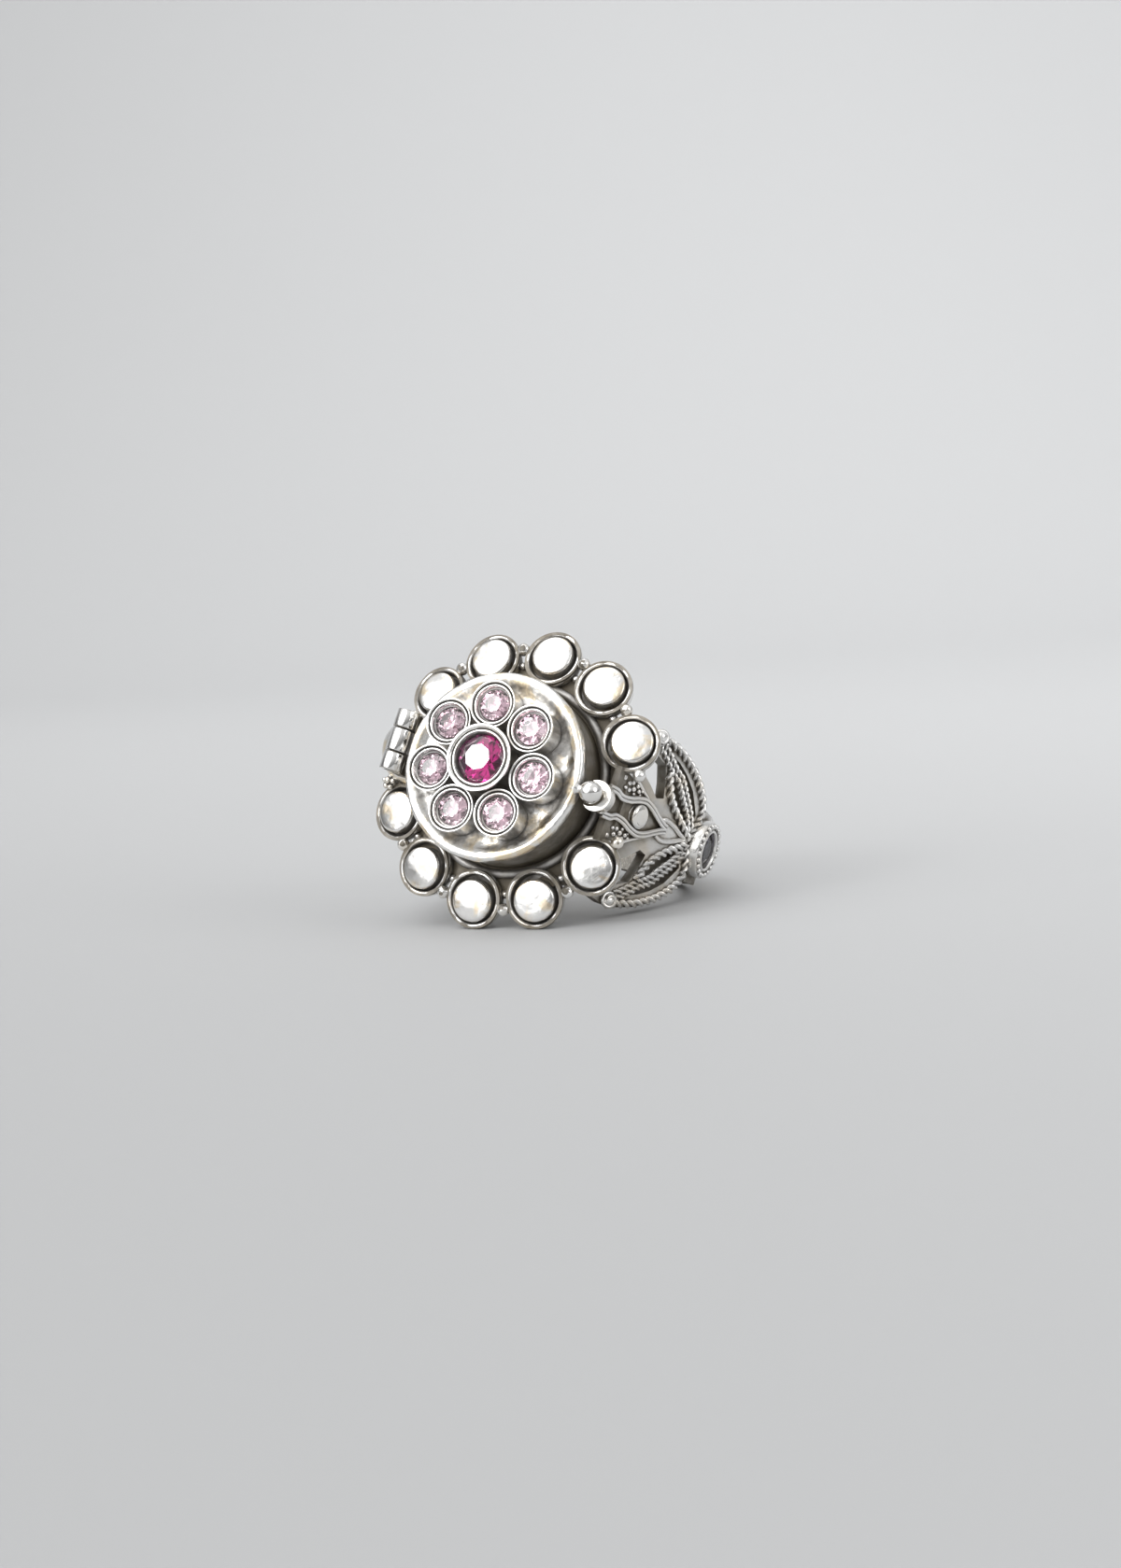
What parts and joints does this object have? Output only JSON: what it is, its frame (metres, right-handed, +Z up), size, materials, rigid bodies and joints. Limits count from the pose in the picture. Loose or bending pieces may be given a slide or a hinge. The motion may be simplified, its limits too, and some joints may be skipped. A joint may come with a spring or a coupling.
{
  "type": "poison ring",
  "caption": "Silver finger ring whose round petalled head is a small box with a hinged, stone-set lid; pierced shoulders, plain back.",
  "frame": {"origin": "on the surface that the ring lies on, below the middle of its bounding box", "axes": "+Z up, -Y towards the side that the head faces, so the finger's way through is near +Z, leaning; +X to the right of a viewer who looks at the head"},
  "size_m": [0.022, 0.0272, 0.0198],
  "materials": {
    "silver": "polished silver, darkened brown-grey in the recesses",
    "ruby": "faceted magenta stone",
    "pink_stone": "faceted pale pink stone",
    "side_stone": "faceted lavender stone"
  },
  "bodies": {
    "ring": {"ring_body": "silver", "hinge_pin": "silver", "side_stone_right": "side_stone", "side_stone_left": "side_stone"},
    "lid": {"lid": "silver", "ruby": "ruby", "pink_stone_1": "pink_stone", "pink_stone_2": "pink_stone", "pink_stone_3": "pink_stone", "pink_stone_4": "pink_stone", "pink_stone_5": "pink_stone", "pink_stone_6": "pink_stone", "pink_stone_7": "pink_stone"}
  },
  "joints": [
    {"name": "lid_hinge", "type": "hinge", "parent": "ring", "child": "lid", "pos_m": [-0.00724, -0.00927, 0.01307], "axis": [-0.2588, -0.3404, -0.9039], "range_deg": [0, 110]}
  ]
}
